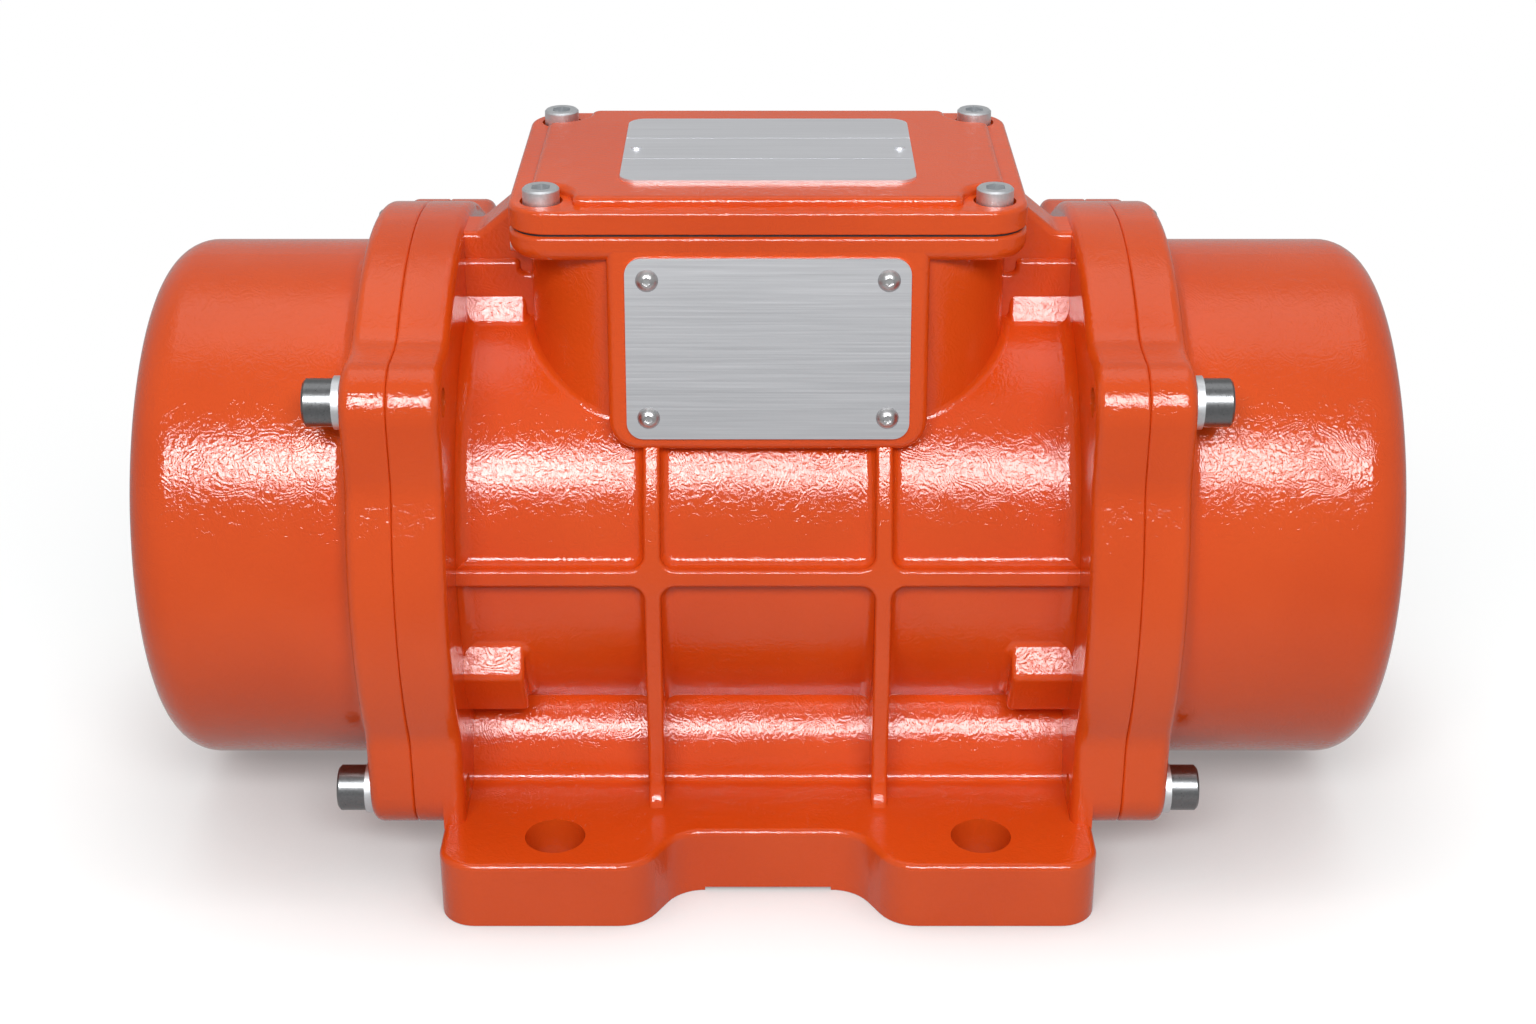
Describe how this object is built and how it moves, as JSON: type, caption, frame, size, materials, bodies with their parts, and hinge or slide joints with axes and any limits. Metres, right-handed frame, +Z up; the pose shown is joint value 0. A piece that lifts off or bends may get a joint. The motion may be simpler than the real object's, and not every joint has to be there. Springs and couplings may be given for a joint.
{
  "type": "external vibration motor",
  "caption": "Foot-mounted electric vibration motor: ribbed cast housing with terminal box, two bolted round end covers over adjustable eccentric weights.",
  "frame": {"origin": "centre of the mounting face, on the floor midway between the four foot holes", "axes": "+X along the rotor shaft, +Y away from the nameplate, across the feet, +Z up through the terminal box"},
  "size_m": [0.35, 0.2, 0.1949],
  "materials": {
    "enamel": "glossy orange-red enamel with fine orange peel",
    "carrier_iron": "machined grey iron",
    "zinc_steel": "bright zinc plate",
    "stainless": "polished stainless steel",
    "plate_aluminium": "satin brushed",
    "rubber": "matt black rubber",
    "bearing_steel": "ground and polished",
    "cage_brass": "machined brass",
    "shaft_steel": "turned and ground",
    "lamination": "stacked electrical sheet",
    "rotor_aluminium": "die cast",
    "winding_copper": "varnished copper wire",
    "lead_insulation": "silicone sleeving",
    "weight_steel": "flame cut plate, oiled",
    "moulding": "brown phenolic moulding",
    "gland_nylon": "grey nylon"
  },
  "bodies": {
    "stator": {"stator_housing": "enamel", "end_cover_left": "enamel", "end_cover_right": "enamel", "cover_o_ring_left": "rubber", "cover_o_ring_right": "rubber", "cover_bolts": "zinc_steel", "cover_spring_washers": "zinc_steel", "bearing_carrier_left": "carrier_iron", "bearing_carrier_right": "carrier_iron", "bearing_carrier_bolts": "zinc_steel", "bearing_outer_ring_left": "bearing_steel", "bearing_outer_ring_right": "bearing_steel", "bearing_cap_left": "carrier_iron", "bearing_cap_right": "carrier_iron", "bearing_cap_screws": "zinc_steel", "stator_core": "lamination", "stator_winding": "winding_copper", "winding_leads": "lead_insulation", "terminal_block": "moulding", "terminal_studs": "cage_brass", "terminal_block_screws": "zinc_steel", "star_link": "cage_brass", "terminal_box_lid": "enamel", "lid_gasket": "rubber", "lid_screws": "zinc_steel", "lid_plate": "plate_aluminium", "lid_plate_rivets": "stainless", "nameplate": "plate_aluminium", "nameplate_screws": "stainless", "cable_gland_body": "gland_nylon", "cable_gland_seal": "rubber", "cable_gland_nut": "gland_nylon", "earth_screw": "zinc_steel"},
    "rotor": {"rotor_shaft": "shaft_steel", "rotor_core": "lamination", "rotor_end_rings": "rotor_aluminium", "bearing_inner_ring_left": "bearing_steel", "bearing_inner_ring_right": "bearing_steel", "spacer_sleeve_left": "shaft_steel", "spacer_sleeve_right": "shaft_steel", "fixed_weight_left": "weight_steel", "fixed_weight_right": "weight_steel", "weight_keys": "shaft_steel", "setting_disc_left": "shaft_steel", "setting_disc_right": "shaft_steel", "thrust_washers": "shaft_steel", "circlips": "shaft_steel"},
    "roller_set_left": {"bearing_rollers_left": "bearing_steel", "bearing_cage_left": "cage_brass"},
    "adjustable_weight_left": {"adjustable_weight_left": "weight_steel", "clamp_bolt_left": "zinc_steel"},
    "roller_set_right": {"bearing_rollers_right": "bearing_steel", "bearing_cage_right": "cage_brass"},
    "adjustable_weight_right": {"adjustable_weight_right": "weight_steel", "clamp_bolt_right": "zinc_steel"}
  },
  "joints": [
    {"name": "rotor_spin", "type": "hinge", "parent": "stator", "child": "rotor", "pos_m": [0, 0, 0.086], "axis": [1, 0, 0], "continuous": true},
    {"name": "roller_set_left_orbit", "type": "hinge", "parent": "stator", "child": "roller_set_left", "pos_m": [0, 0, 0.086], "axis": [1, 0, 0], "continuous": true},
    {"name": "roller_set_right_orbit", "type": "hinge", "parent": "stator", "child": "roller_set_right", "pos_m": [0, 0, 0.086], "axis": [1, 0, 0], "continuous": true},
    {"name": "weight_setting_left", "type": "hinge", "parent": "rotor", "child": "adjustable_weight_left", "pos_m": [0, 0, 0.086], "axis": [1, 0, 0], "range_deg": [0, 180]},
    {"name": "weight_setting_right", "type": "hinge", "parent": "rotor", "child": "adjustable_weight_right", "pos_m": [0, 0, 0.086], "axis": [1, 0, 0], "range_deg": [0, 180]}
  ],
  "couplings": [
    {"joint": "roller_set_left_orbit", "follows": "rotor_spin", "ratio": 0.3996},
    {"joint": "roller_set_right_orbit", "follows": "rotor_spin", "ratio": 0.3996}
  ]
}
